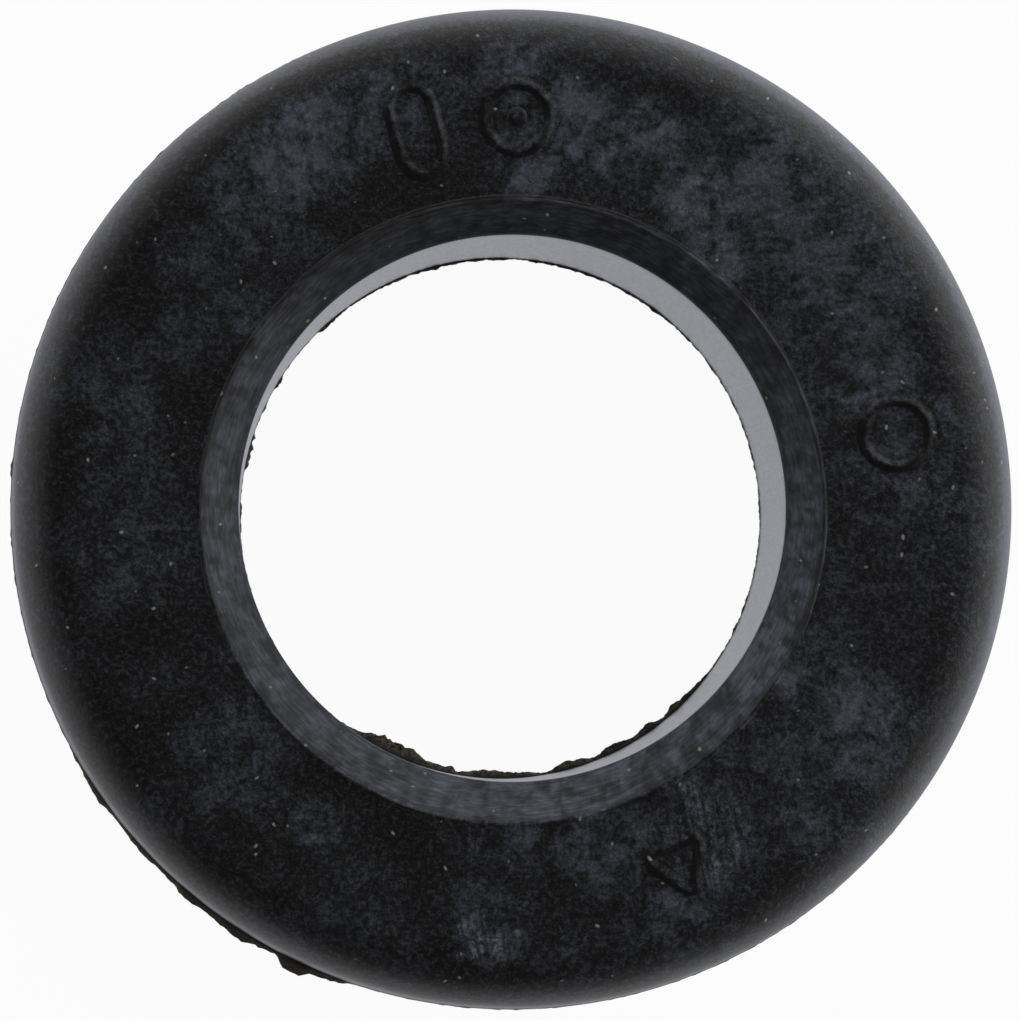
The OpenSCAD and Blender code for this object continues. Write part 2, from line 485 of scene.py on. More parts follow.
def here(tree):
    """The place of each point."""
    return add(tree, "GeometryNodeInputPosition", "Position")


def gathered(tree, *geometries):
    """Several geometries as one."""
    made = tree.nodes.new("GeometryNodeJoinGeometry")
    for geometry in geometries:
        wire(made.inputs["Geometry"], geometry)
    return Value(made.outputs["Geometry"])


def finish_tree(tree, result, geometry, material):
    """Turn what a tree made into real mesh in one material, and hand it out."""
    real = shape(tree, "RealizeInstances", {"Geometry": geometry})
    wire(result, shape(tree, "SetMaterial", {"Geometry": real, "Material": material}))


def apply_tree(name, tree, values=None, start=None):
    """Run a tree on a mesh, or on nothing, and keep its result as a plain mesh."""
    holder = new_object(name, start or bpy.data.meshes.new(name))
    modifier = holder.modifiers.new("nodes", "NODES")
    modifier.node_group = tree
    sockets = {item.name: item.identifier for item in tree.interface.items_tree if item.in_out == "INPUT"}
    for label, value in (values or {}).items():
        modifier[sockets[label]] = value
    evaluated = holder.evaluated_get(bpy.context.evaluated_depsgraph_get())
    mesh = bpy.data.meshes.new_from_object(evaluated)
    holder.modifiers.clear()
    holder.data = mesh
    return holder


# %% [markdown]
# ## Tree of the turned body
#
# Curve to Mesh lays the section's X along the circle's outward direction and its Y downwards, so the
# section is first tipped over and moved in by the circle's radius. After the sweep, each point that has
# a share in a film moves in or out by the film's reach. Noise makes the torn edge ragged and curls it.

# %% Turned body
def as_curve(tree, loop):
    """A loop of points, which is given as an object, as a curve."""
    points = add(tree, "GeometryNodeObjectInfo", "Geometry", {"Object": loop})
    return shape(tree, "MeshToCurve", {"Mesh": points})


def swept_section(tree, given):
    """The section, turned round the axis."""
    tipped = shape(tree, "Transform", {
        "Geometry": as_curve(tree, given["Section"]),
        "Translation": join(given["Circle radius"] * -1, 0, 0),
        "Rotation": (math.pi / 2, 0, 0),
    })
    circle = shape(tree, "SetCurveNormal", {"Curve": as_curve(tree, given["Circle"])}, mode="Z_UP")
    return shape(tree, "CurveToMesh", {"Curve": circle, "Profile Curve": tipped})


def film_offset(tree, given):
    """How far each point moves with the torn films."""
    place = here(tree)
    tear = place.noise(given["Ragged scale"], detail=4, roughness=0.75) - 0.5

    def torn(film):
        """How far a point follows a film, whose edge is rougher where it reaches further."""
        share, reach = (
            add(tree, "GeometryNodeInputNamedAttribute", "Attribute", {"Name": film + part})
            for part in ("_share", "_reach")
        )
        rough = reach * given["Raggedness by reach"] + given["Raggedness"]
        return share * (tear * rough + reach).at_least(given["Least reach"])

    inward = torn("bore")
    curl = inward * place.noise(given["Curl scale"]) * given["Curl"]
    return Spot(place).outwards * (torn("rim") - inward) + join(0, 0, curl)


def body_tree(material):
    """The tree that turns the section round the axis and adds the torn films."""
    tree, given, result = new_tree("turned_body", {
        "Section": "NodeSocketObject",
        "Circle": "NodeSocketObject",
        "Circle radius": BORE_R,
        "Least reach": 0.015,
        "Raggedness": 0.22,
        "Raggedness by reach": 0.55,
        "Ragged scale": 2.6,
        "Curl": 0.25,
        "Curl scale": 0.8,
        "Sharp edge angle": math.radians(38),
    })
    sources = {"Geometry": swept_section(tree, given), "Offset": film_offset(tree, given)}
    moved = shape(tree, "SetPosition", sources)
    smooth = shape(tree, "SetShadeSmooth", {"Geometry": moved}, domain="FACE")
    bend = add(tree, "GeometryNodeInputMeshEdgeAngle", "Unsigned Angle")
    sources = {"A": bend, "B": given["Sharp edge angle"]}
    settings = {"data_type": "FLOAT", "operation": "GREATER_THAN"}
    is_sharp = add(tree, "FunctionNodeCompare", "Result", sources, **settings)
    sources = {"Geometry": smooth, "Selection": is_sharp, "Shade Smooth": False}
    sharp = shape(tree, "SetShadeSmooth", sources, domain="EDGE")
    finish_tree(tree, result, sharp, material)
    return tree


# %% [markdown]
# ## Tree of the marks
#
# A mark is a flat closed curve that is turned to its angle and set down on the face. The bell that is
# swept along it starts as a circle: its upper half becomes a raised cosine as wide as the line, and its
# lower half hangs into the rubber as a root, so that each mark is a closed body.

# %% Bell that is swept along a mark's line
BELL_POINTS = 24
# Height on the circle over which a point belongs to its upper half
BELL_MIDDLE = -0.0001


def bell(tree, given):
    """A circle bent into a raised cosine over a root. Curve to Mesh lays its Y downwards."""
    circle = shape(tree, "CurvePrimitiveCircle", {"Resolution": BELL_POINTS, "Radius": 1.0})
    across, up, _ = here(tree).split()
    above = ((across * math.pi).step("COSINE") + 1) * 0.5 * given["Rise"]
    height = blend(up.step("GREATER_THAN", BELL_MIDDLE), up * given["Root"], above)
    place = join(across * (given["Line width"] / 2), height * -1, 0)
    return shape(tree, "SetPosition", {"Geometry": circle, "Position": place})


# %% Paths of the marks
RING_POINTS = 48
FILLET_POINTS = 10


def set_down(given, geometry, angle):
    """Carry a flat mark from the middle to its place on the face, its top away from the bore."""
    x = angle.step("COSINE") * given["Place radius"]
    y = angle.step("SINE") * given["Place radius"]
    return shape(angle.tree, "Transform", {
        "Geometry": geometry,
        "Translation": join(x, y, given["Face height"]),
        "Rotation": join(0, 0, angle - math.pi / 2),
    })


def ring_path(tree, given):
    """A circle whose line stays inside the ring mark's outer diameter."""
    radius = (given["Ring diameter"] - given["Line width"]) / 2
    return shape(tree, "CurvePrimitiveCircle", {"Resolution": RING_POINTS, "Radius": radius})


def soft_cornered(tree, curve, radius):
    """A straight-sided curve with round corners."""
    sources = {"Curve": curve, "Radius": radius, "Count": FILLET_POINTS, "Limit Radius": True}
    return shape(tree, "FilletCurve", sources, mode="POLY")


def slot_path(tree, given):
    """A slot: a rectangle whose corners are as round as its width allows."""
    width = given["Slot width"] - given["Line width"]
    sources = {"Width": width, "Height": width + given["Slot length"]}
    slot = shape(tree, "CurvePrimitiveQuadrilateral", sources, mode="RECTANGLE")
    return soft_cornered(tree, slot, width / 2)


def index_path(tree, given):
    """A triangle with one corner up, whose line lies inside the index mark's circle."""
    radius = (given["Index diameter"] - given["Line width"] * 2) / 2
    triangle = shape(tree, "CurvePrimitiveCircle", {"Resolution": 3, "Radius": radius})
    turned = shape(tree, "Transform", {"Geometry": triangle, "Rotation": (0, 0, math.pi / 2)})
    return soft_cornered(tree, turned, given["Index corner"])


def flat_dot(tree, given):
    """A ball that is pressed flat to the marks' rise."""
    ball = shape(tree, "MeshUVSphere", {"Segments": 24, "Rings": 12, "Radius": 1.0})
    half = given["Dot diameter"] / 2
    return shape(tree, "Transform", {"Geometry": ball, "Scale": join(half, half, given["Rise"])})


# %% Face marks
def marks_tree(material):
    """The tree that makes the four marks, with an input for each size."""
    tree, given, result = new_tree("face_marks", MARK_SIZES)
    paths = gathered(
        tree,
        set_down(given, slot_path(tree, given), given["Slot angle"]),
        set_down(given, ring_path(tree, given), given["Dotted ring angle"]),
        set_down(given, ring_path(tree, given), given["Ring angle"]),
        set_down(given, index_path(tree, given), given["Index angle"]),
    )
    fine = shape(tree, "ResampleCurve", {"Curve": paths, "Length": given["Line step"]}, mode="LENGTH")
    level = shape(tree, "SetCurveNormal", {"Curve": fine}, mode="Z_UP")
    lines = shape(tree, "CurveToMesh", {"Curve": level, "Profile Curve": bell(tree, given)})
    dot = set_down(given, flat_dot(tree, given), given["Dotted ring angle"])
    smooth = shape(tree, "SetShadeSmooth", {"Geometry": gathered(tree, dot, lines)})
    finish_tree(tree, result, smooth, material)
    return tree


# %% [markdown]
# ## Bloom and wear
#
# Black rubber owes its colour to soot. What makes it look old is bloom: waxes and sulphur creep to the
# surface and lie there as a bluish-grey haze, in soft patches where the part was touched or lay against
# others. A patch is wider than the spaces between the mesh's points, so a third tree works out the haze
# for each point and stores it as an attribute, which costs nothing when the picture is rendered. The
# patches are listed, and noise moves their edges about. A thin haze lies between them.

# %% Where the bloom lies thick: X, Y and radius in millimetres, and strength
BLOOM_PATCHES = [
    (-7.5, 12.7, 2.1, 2.4), (-9.0, 10.4, 1.8, 1.2), (-4.6, 14.5, 2.3, 1.5), (-5.8, 12.6, 0.6, 1.4),
    (2.1, 13.7, 1.3, 2.2), (2.1, 12.7, 0.5, 3.0), (0.2, 12.4, 0.7, 2.6), (1.0, 11.9, 0.5, 1.6),
    (4.0, 12.6, 0.8, 2.2), (4.8, 13.8, 0.5, 2.4), (5.3, 12.7, 0.8, 2.2), (6.4, 11.1, 1.0, 2.6),
    (7.3, 9.2, 0.9, 2.4), (7.5, 8.8, 0.4, 2.4), (9.1, 10.9, 1.8, 1.5), (11.6, 8.2, 2.6, 1.1),
    (8.6, 14.0, 1.6, 0.5), (12.9, 4.3, 1.0, 1.8), (13.2, 1.2, 1.2, 1.4), (15.0, 2.9, 0.7, 1.2),
    (12.2, -7.8, 1.8, 1.6), (10.1, -11.0, 1.0, 1.1), (9.2, -8.4, 1.6, 0.9), (6.8, -11.6, 1.8, 1.2),
    (5.7, -13.6, 1.1, 1.7), (3.4, -11.7, 1.5, 1.6), (-0.9, -15.2, 0.9, 3.0), (-0.3, -13.7, 1.2, 0.6),
    (1.4, -15.9, 0.7, 1.1), (-13.4, 3.1, 1.2, 1.3), (-12.9, 1.4, 1.6, 0.6), (-12.6, -1.6, 1.8, 0.7),
    (-10.9, 8.7, 1.0, 0.9), (-9.4, 7.0, 0.8, 1.2), (-11.1, 5.9, 1.0, 0.8), (-9.6, -8.5, 2.0, 0.9),
    (-10.3, -7.8, 0.5, 1.1), (-6.9, -10.9, 0.7, 1.6), (-5.6, -13.4, 1.6, 0.5), (7.6, 5.4, 1.2, 0.8),
    (0.0, -12.2, 1.0, 0.8), (0.3, -11.0, 0.6, 1.5), (5.5, -9.5, 0.8, 1.0), (9.2, -5.6, 0.8, 1.0),
    (0.2, 15.1, 1.0, 2.6), (15.6, 0.3, 0.8, 0.8), (8.1, 13.2, 0.9, 0.8), (10.4, 6.0, 0.8, 0.8),
    (6.0, -10.3, 1.0, 1.2), (0.5, -10.95, 0.5, 2.0), (5.6, -9.4, 0.6, 1.8), (9.6, -5.4, 0.6, 1.8),
]
# Where it was wiped with something rough, and shows strokes, in the same form
WIPED_PATCHES = [
    (6.6, -11.3, 1.9, 1.0), (-1.0, -15.2, 1.5, 0.8), (7.0, 10.2, 1.4, 0.5), (3.4, 11.9, 1.0, 0.4),
]
# Half the width of a patch's soft edge, and the most that it may be as a share of the patch's radius
PATCH_EDGE = 0.8
PATCH_EDGE_SHARE = 0.8
# What a noise's colour is about
MIDDLE = (0.5, 0.5, 0.5)
print("patches of bloom:", len(BLOOM_PATCHES))


# %% Patches with wandering edges
def patches(place, listed):
    """The strongest of some listed patches, each with a soft edge."""
    strongest = 0.0
    for x, y, radius, strength in listed:
        edge = min(PATCH_EDGE, radius * PATCH_EDGE_SHARE)
        patch = place.step("DISTANCE", (x, y, 0)).remap(radius + edge, radius - edge, 0, strength)
        strongest = patch.at_least(strongest)
    return strongest


def wandered_place(spot, given):
    """A point's place on the level, moved about by noise so that a round patch loses its outline."""
    cloud = spot.place.noise(given["Wander scale"], detail=3, roughness=0.6, output="Color")
    return spot.level + (cloud - MIDDLE) * given["Wander"] * (1, 1, 0)


# %% [markdown]
# The bloom on the face, in the mouth, on the flange's edge and in the bore comes about in different ways,
# so each has its own function. Part of what is stored with it is painted light and shade: round a raised
# mark's foot, and on the flank that lies away from the light, the face is darker as painted shade. The haze
# grows towards the lit side, and the mouth's bloom towards its lower right and left, as painted light. The
# grey on the flange's round is a painted highlight over a little bloom. The bloom in the bore is partly
# painted light that lifts it out of shade.

# %% Bloom on the face
# Each of these is the span of a number and the span that it becomes: haze in clouds and uneven bloom by
# their noises, and painted shade by the distance from a mark, which thins the bloom in the crease at its
# foot
CLOUDS = (0.42, 0.75, 0.0, 0.65)
UNEVEN = (0.35, 0.65, 0.25, 1.55)
MARK_FOOT_SHADE = (0.02, 0.3, 0.4, 1.0)
# Side of the axis, in degrees, where the rest of the haze is thickest, and the spans that it goes by: it
# grows towards the brightest light, as painted light
HAZE_TO_LIT_SIDE = (20, -0.2, 0.9, 0.0, 0.3)
# Half the width of the soft seam between two kinds of bloom
SEAM = 0.05
# Heights between which a point comes to count as on top, and distances from the axis at the face's ends
TOP_BAND = (TOTAL_HEIGHT - 0.5, TOTAL_HEIGHT - 0.1)
FACE_STARTS = (MOUTH_R - SEAM, MOUTH_R + SEAM)
FACE_ENDS = (16.4, 15.6)
# Direction in which a mark's flank with painted shade looks, away from the light, and how straight it looks
# there from when to when it counts
SHADED_FLANK = (-0.5, -0.87, 0)
FLANK_TURN = (-0.05, 0.2)
# How much painted shade the flank away from the light gets
FLANK_SHADE = 1.2
# Height over the face, and least distance from a mark, that tell what belongs to it
ON_MARK = 0.01


def face_share(spot):
    """1 on the flat face, and 0 in the mouth and on the flange's round."""
    return spot.z.remap(*TOP_BAND) * spot.from_axis.remap(*FACE_STARTS) * spot.from_axis.remap(*FACE_ENDS)


def face_bloom_and_shade(tree, spot, given, wandered, uneven):
    """Patches over a thin haze, with painted shade at the marks' feet and on their flanks away from the
    light.
    """
    clouds = spot.place.noise(given["Cloud scale"], roughness=0.6).remap(*CLOUDS)
    # The thin haze grows towards the brightest light: painted light
    bloom = patches(wandered, BLOOM_PATCHES) * face_share(spot) + (spot.by_side(*HAZE_TO_LIT_SIDE) + clouds)
    marks = add(tree, "GeometryNodeObjectInfo", "Geometry", {"Object": given["Marks"]})
    gap = add(tree, "GeometryNodeProximity", "Distance", {"Geometry": marks}, target_element="FACES")
    normal = add(tree, "GeometryNodeInputNormal", "Normal")
    on_mark = spot.z.remap(TOTAL_HEIGHT, TOTAL_HEIGHT + ON_MARK) * gap.remap(ON_MARK, 0.0)
    # Painted shade: a mark's flank that looks away from the light loses its bloom and goes dark
    flank_shade = normal.step("DOT_PRODUCT", SHADED_FLANK).remap(*FLANK_TURN) * on_mark
    # Painted shade: the bloom thins in the crease at a mark's foot
    return bloom * uneven * gap.remap(*MARK_FOOT_SHADE) - flank_shade * FLANK_SHADE


# %% Bloom in the mouth, on the flange's edge and in the bore
# Side, in degrees round the axis, where each is thickest, and the spans that it goes by: the mouth's bloom,
# which rises to that side as painted light, some more of that painted light on another side, and the
# flange's painted highlight
MOUTH_BLOOM_AND_LIGHT = (312, 0.0, 0.95, 0.7, 2.2)
MORE_MOUTH_LIGHT = (190, 0.3, 1.0, 0.0, 0.65)
EDGE_HIGHLIGHT = (50, -1.0, 1.0, 1.0, 4.4)
# Bloom in the bore, partly painted light that lifts the wall and film out of the bore's shade
BORE_BLOOM_AND_LIGHT = 2.6
# Distances from the axis between which the edge's painted highlight begins, and heights between which it
# thins out to a tenth on the flange's wall and ends on the film
EDGE_STARTS = (16.75, 17.2)
EDGE_THINS = (TOTAL_HEIGHT - 2.4, TOTAL_HEIGHT - 1.2, 0.1, 1.0)
EDGE_ENDS = (GROOVE_TOP, GROOVE_TOP + 0.5)
# Distances from the axis between which the bore's film and the rim's begin, and the share of the rim's
BORE_FILM_STARTS = (BORE_R - 0.01, BORE_R - 0.04)
RIM_FILM_STARTS = (FLANGE_R + 0.01, FLANGE_R + 0.05, 0.0, 0.25)
# Share of the film's brown in the flange's painted highlight, which warms it
FILM_BROWN_IN_EDGE_HIGHLIGHT = 0.12


def mouth_bloom_and_light(spot, uneven):
    """Bloom on the mouth's slope, which is partly painted light that makes it thickest at the lower right.
    """
    return (spot.by_side(*MOUTH_BLOOM_AND_LIGHT) + spot.by_side(*MORE_MOUTH_LIGHT) + spot.by_side(*HAZE_TO_LIT_SIDE)) * uneven


def slope_share(spot):
    """1 on the mouth's slope."""
    in_mouth = spot.from_axis.remap(MOUTH_R + SEAM, MOUTH_R - SEAM)
    return in_mouth * spot.z.remap(SLOPE_FOOT - 2 * SEAM, SLOPE_FOOT)


def edge_highlight_share(spot):
    """Where the painted highlight lies: 1 on the outer half of the flange's round, and little on the wall
    below it.
    """
    return spot.from_axis.remap(*EDGE_STARTS) * spot.z.remap(*EDGE_THINS) * spot.z.remap(*EDGE_ENDS)


def film_and_edge_light_share(spot, edge_highlight):
    """How far a point has the film's brown, and the brown that warms the flange's painted highlight."""
    films = spot.from_axis.remap(*BORE_FILM_STARTS) + spot.from_axis.remap(*RIM_FILM_STARTS)
    return films + edge_highlight * FILM_BROWN_IN_EDGE_HIGHLIGHT


# %% [markdown]
# ## Warp
#
# Cured rubber is never quite round, so the tree also bends the moulding a little, and leaves its lower end
# flat on the floor. The core pin stood askew in the mould: the mouth's outer edge and the rim lie a little
# out of centre. The ridge round the mouth and the marks are worn, here more and there less.

# %% Bend, shift and wear
# Distances from the axis between which the mouth's shift fades out and the rim's grows, and heights between
# which the rim's grows
MOUTH_SHIFT_FADES = (MOUTH_R + 2.0, MOUTH_R + 0.2)
RIM_SHIFT_GROWS = (BEAD_R, FLANGE_R - 0.6)
RIM_SHIFT_RISES = (GROOVE_TOP - 0.5, GROOVE_TOP)
# Span of the noise that tells the wear
WEAR_NOISE = (0.38, 0.62)


def warp(spot, given):
    """A slow bend that grows with the height."""
    bend = spot.place.noise(given["Warp scale"], detail=0, output="Color") - MIDDLE
    return bend * given["Warp"] * (spot.z / given["Height"])


def out_of_centre(spot, narrowing, shift, share):
    """Make a circle round the axis smaller and move it aside, as far as a point has a share in it."""
    return (spot.outwards * (narrowing * -1) + shift) * share


def mouth_edge_share(spot):
    """Grows up the mouth's slope, and fades out on the face around it."""
    up_slope = (spot.z - SLOPE_FOOT) / MOUTH_DEPTH
    return up_slope.at_least(0) * spot.from_axis.remap(*MOUTH_SHIFT_FADES)


def rim_share(spot):
    """Grows from the middle of the flange out to its rim."""
    return spot.from_axis.remap(*RIM_SHIFT_GROWS) * spot.z.remap(*RIM_SHIFT_RISES)


def worn(spot, given):
    """How far what stands up from the face is worn down."""
    rise = (spot.z - TOTAL_HEIGHT).at_least(0)
    wear = spot.place.noise(given["Wander scale"])
    lost = wear.remap(*WEAR_NOISE, given["Most wear"], given["Least wear"])
    return join(0, 0, rise * lost * -1)


# %% Weathering of the whole moulding
def weathering_tree(material):
    """The tree that stores bloom, wiped spots and film on each point, with painted light and shade in the
    bloom and film, and bends the moulding.
    """
    tree, given, result = new_tree("weathering", {
        "Geometry": "NodeSocketGeometry",
        "Marks": "NodeSocketObject",
        "Height": TOTAL_HEIGHT,
        "Mouth narrowing": 0.1,
        "Mouth shift": (-0.04, -0.18, 0),
        "Rim narrowing": 0.04,
        "Rim shift": (0.068, 0.049, 0),
        "Warp": 0.08,
        "Warp scale": 0.06,
        "Most wear": 0.7,
        "Least wear": 0.05,
        "Wander": 3.0,
        "Wander scale": 0.7,
        "Cloud scale": 0.3,
        "Uneven scale": 1.4,
    })
    spot = Spot(here(tree))
    wandered = wandered_place(spot, given)
    uneven = spot.place.noise(given["Uneven scale"], roughness=0.7, distortion=0.6).remap(*UNEVEN)
    edge_highlight = edge_highlight_share(spot)
    bloom = face_bloom_and_shade(tree, spot, given, wandered, uneven)
    bloom = blend(slope_share(spot), bloom, mouth_bloom_and_light(spot, uneven))
    # Painted highlight over a little bloom on the flange's round, brightest on the side of the brightest
    # light
    bloom += edge_highlight * spot.by_side(*EDGE_HIGHLIGHT)
    # Bore bloom, partly painted light against the bore's shade
    bloom += spot.from_axis.remap(BORE_R + SEAM, BORE_R) * BORE_BLOOM_AND_LIGHT
    stored = {
        "bloom": bloom,
        "wiped": patches(wandered, WIPED_PATCHES) * face_share(spot),
        "film": film_and_edge_light_share(spot, edge_highlight),
    }
    weathered = given["Geometry"]
    for name, value in stored.items():
        sources = {"Geometry": weathered, "Name": name, "Value": value}
        settings = {"data_type": "FLOAT", "domain": "POINT"}
        weathered = shape(tree, "StoreNamedAttribute", sources, **settings)

    offset = warp(spot, given)
    offset += out_of_centre(spot, given["Mouth narrowing"], given["Mouth shift"], mouth_edge_share(spot))
    offset += out_of_centre(spot, given["Rim narrowing"], given["Rim shift"], rim_share(spot))
    offset += worn(spot, given)
    sources = {"Geometry": weathered, "Offset": offset}
    finish_tree(tree, result, shape(tree, "SetPosition", sources), material)
    return tree


# %% [markdown]
# ## Rubber
#
# The shader adds what is finer than the mesh. One noise, from a fifth of a millimetre down to the sandy
# grain of the spark-worn mould, breaks the bloom up, sets the gloss and makes the bump. On the mouth's
# slope, where the core pin turned out, the same noise is drawn out along the turn, and in the bore, where
# the pin slid out, along the axis. A wiped spot is broken up by a second noise that runs along the strokes.

# %% Colours and grain
SOOT_BLACK = (0.0022, 0.0021, 0.0019)
# Grey of the bloom, which also colours the painted light and shade stored with it
BLOOM_AND_PAINTED_LIGHT_GREY = (0.0145, 0.0157, 0.0196)
# Brown of the torn film: the thin film's own tint, made pale as painted light shining through it
FILM_BROWN_AND_LIGHT = (0.19, 0.165, 0.13)
DUST_GREY = (0.2, 0.2, 0.19)
# How often the grain changes: in a millimetre of the face, in a radian round the mouth and in a millimetre
# up its slope, and in a radian round the bore and in a millimetre down it
FACE_GRAIN = 5
MOUTH_GRAIN = (12, 8)
BORE_GRAIN = (70, 1)
# Lean of the wiping strokes from the Y axis in degrees, and how often they change across and along
STROKE_LEAN = math.radians(12)
STROKES_ACROSS = 6
STROKES_ALONG = 0.5
# Half the width of the seam between the face's grain and the mouth's
GRAIN_SEAM = 0.03
# Share of film from which a point of the bore counts as film
FILM_LEAST = 0.02


def mouth_and_bore(spot):
    """Two shares that are 1 on the mouth's slope and on the bore's wall."""
    inside_mouth = spot.from_axis.remap(MOUTH_R + GRAIN_SEAM, MOUTH_R - GRAIN_SEAM)
    inside_bore = spot.from_axis.remap(BORE_R + 3 * SEAM, BORE_R + SEAM)
    over_foot = spot.z.remap(SLOPE_FOOT - SEAM, SLOPE_FOOT + SEAM)
    under_foot = spot.z.remap(SLOPE_FOOT + 2 * SEAM, SLOPE_FOOT - 2 * SEAM)
    return inside_mouth * over_foot, inside_bore * under_foot


def grain_noise(spot, in_mouth, in_bore, film):
    """Sandy noise, drawn out where the core pin left the rubber. The bore's film has it plain."""

    def drawn_out(around, along, value):
        return spot.outwards * around + join(0, 0, value * along)

    where = blend_vector(in_mouth, spot.place * FACE_GRAIN, drawn_out(*MOUTH_GRAIN, spot.from_axis))
    bare_bore = in_bore * film.step("LESS_THAN", FILM_LEAST)
    where = blend_vector(bare_bore, where, drawn_out(*BORE_GRAIN, spot.z))
    return where.noise(1.0, roughness=0.85)


def stroke_noise(spot):
    """Noise that runs along the wiping strokes."""
    sine = math.sin(STROKE_LEAN)
    cosine = math.cos(STROKE_LEAN)
    across = spot.place.step("DOT_PRODUCT", (cosine * STROKES_ACROSS, sine * STROKES_ACROSS, 0))
    along = spot.place.step("DOT_PRODUCT", (-sine * STROKES_ALONG, cosine * STROKES_ALONG, 0))
    return join(across, along, 0).noise(1.0, detail=1)


# %% [markdown]
# The bloom's amount is its stored thickness times the broken-up texture. Thick bloom is smoother than thin,
# so the texture's grip falls as the bloom grows. A little sand shows on bare rubber too.

# %% Colour of the rubber under its bloom
# Each of these is the span of a noise and the span that it becomes: broken bloom, strokes, bare sand
BROKEN = (0.28, 0.72, 0.12, 1.9)
STROKES = (0.35, 0.65, 0.3, 2.0)
SAND = (0.44, 0.8, 0.0, 1.3)
# How the texture's grip falls as the bloom grows: first, and where it is thick
GRIP_FALLS = (0.4, 2.0, 1.0, 0.46)
GRIP_FALLS_MORE = (2.2, 3.6, 1.0, 0.4)
# Grip in the mouth, and what becomes of the grip from outside the bore to inside
MOUTH_GRIP = 0.42
BORE_GRIP = (0.0, 1.0, 1.0, 0.45)


def stored(tree, name):
    """What the weathering tree stored on the surface under a name."""
    return add(tree, "ShaderNodeAttribute", "Fac", attribute_name=name)


def rubber_colour(tree, spot, grain, in_mouth, in_bore, film):
    """Soot black under grey bloom, and brown where the film is. The stored bloom and film also carry
    painted light and shade.
    """
    bloom = stored(tree, "bloom")
    wiped = stored(tree, "wiped")
    broken = grain.remap(*BROKEN)
    texture = blend(wiped, broken, stroke_noise(spot).remap(*STROKES) * broken)
    grip = bloom.remap(*GRIP_FALLS) * bloom.remap(*GRIP_FALLS_MORE)
    grip = blend(in_mouth, grip, MOUTH_GRIP).at_least(wiped) * in_bore.remap(*BORE_GRIP)
    amount = bloom * ((texture - 1) * grip + 1) + grain.remap(*SAND)
    bloomed = amount.at_least(0) * BLOOM_AND_PAINTED_LIGHT_GREY + SOOT_BLACK
    return blend_vector(film, bloomed, ((broken - 1) * film + 1) * FILM_BROWN_AND_LIGHT)


# %% [markdown]
# Specks and short fibres of dust come from Voronoi cells of about 0.6 mm. A cell's random colour gives
# three numbers: whether and how large a speck it has, how the speck is turned and how far it is stretched.
# The grain makes the speck's outline uneven.

# %% Dust
DUST_CELLS = 1.7
# A random number and what comes of it: half the width of a speck in millimetres, and how bright it is
SPECK_SIZE = (0.4, 1.0, 0.03, 0.075)
SPECK_STRENGTH = (0.45, 1.0, 0.06, 0.9)
# Another one, and how many times as long a speck becomes, and how much thinner
SPECK_STRETCH = (0.4, 1.0, 1.3, 7.0)
SPECK_THINNING = (0.4, 1.0, 1.0, 0.55)
# Where a speck's soft edge begins and ends, in half-widths, and how far the grain moves it in millimetres
SPECK_EDGE = (1.0, 0.5)
SPECK_ROUGHNESS = 0.06


def dust(tree, spot, grain):
    """How much dust lies on a point."""
    cells = tree.nodes.new("ShaderNodeTexVoronoi")
    wire(cells.inputs["Vector"], spot.place)
    wire(cells.inputs["Scale"], DUST_CELLS)
    pick, turn, stretch = Value(cells.outputs["Color"]).split()
    x, y, z = (spot.place - Value(cells.outputs["Position"])).split()
    cosine = (turn * math.tau).step("COSINE")
    sine = (turn * math.tau).step("SINE")
    along = (x * cosine + y * sine) / stretch.remap(*SPECK_STRETCH)
    across = y * cosine - x * sine
    reach = join(along, across, z).step("LENGTH") + (grain - 0.5) * SPECK_ROUGHNESS
    size = pick.remap(*SPECK_SIZE) * stretch.remap(*SPECK_THINNING)
    return (reach / size).remap(*SPECK_EDGE) * pick.remap(*SPECK_STRENGTH)


# %% Rubber material
# Roughness by the grain on the face and in the bore, and the mouth's, which is the same all over
FACE_ROUGHNESS = (0.3, 0.7, 0.38, 0.48)
BORE_ROUGHNESS = (0.3, 0.7, 0.28, 0.32)
MOUTH_ROUGHNESS = 0.58
SPECULAR = 0.22
GRAIN_DEPTH = 0.02 * MM


def rubber_material():
    """Matte black rubber with a patchy grey bloom, fine grain and a little dust."""
    material = bpy.data.materials.new("moulded_rubber")
    material.use_nodes = True
    tree = material.node_tree
    spot = Spot(add(tree, "ShaderNodeTexCoord", "Object") * (1 / MM))
    in_mouth, in_bore = mouth_and_bore(spot)
    film = stored(tree, "film")
    grain = grain_noise(spot, in_mouth, in_bore, film)
    colour = rubber_colour(tree, spot, grain, in_mouth, in_bore, film)
    roughness = blend(in_mouth, grain.remap(*FACE_ROUGHNESS), MOUTH_ROUGHNESS)
    sources = {"Height": grain, "Strength": 1.0, "Distance": GRAIN_DEPTH}
    shader = tree.nodes["Principled BSDF"].inputs
    shader["Specular IOR Level"].default_value = SPECULAR
    wire(shader["Base Color"], blend_vector(dust(tree, spot, grain), colour, DUST_GREY))
    wire(shader["Roughness"], blend(in_bore, roughness, grain.remap(*BORE_ROUGHNESS)))
    wire(shader["Normal"], add(tree, "ShaderNodeBump", "Normal", sources))
    return material


rubber = rubber_material()
print("nodes in the rubber's material:", len(rubber.node_tree.nodes))

# %% [markdown]
# ## Building the moulding
#
# All three trees work in millimetres. The body and the marks are joined into one mesh, weathered, and
# brought down to metres. The marks stay beside it meanwhile, because the tree asks how far each point of
# the face is from them.

# %% Build and join
body = apply_tree("body", body_tree(rubber), {"Section": section_loop, "Circle": circle_loop})
marks = apply_tree("marks", marks_tree(rubber))
for helper in (section_loop, circle_loop):
    bpy.data.objects.remove(helper)


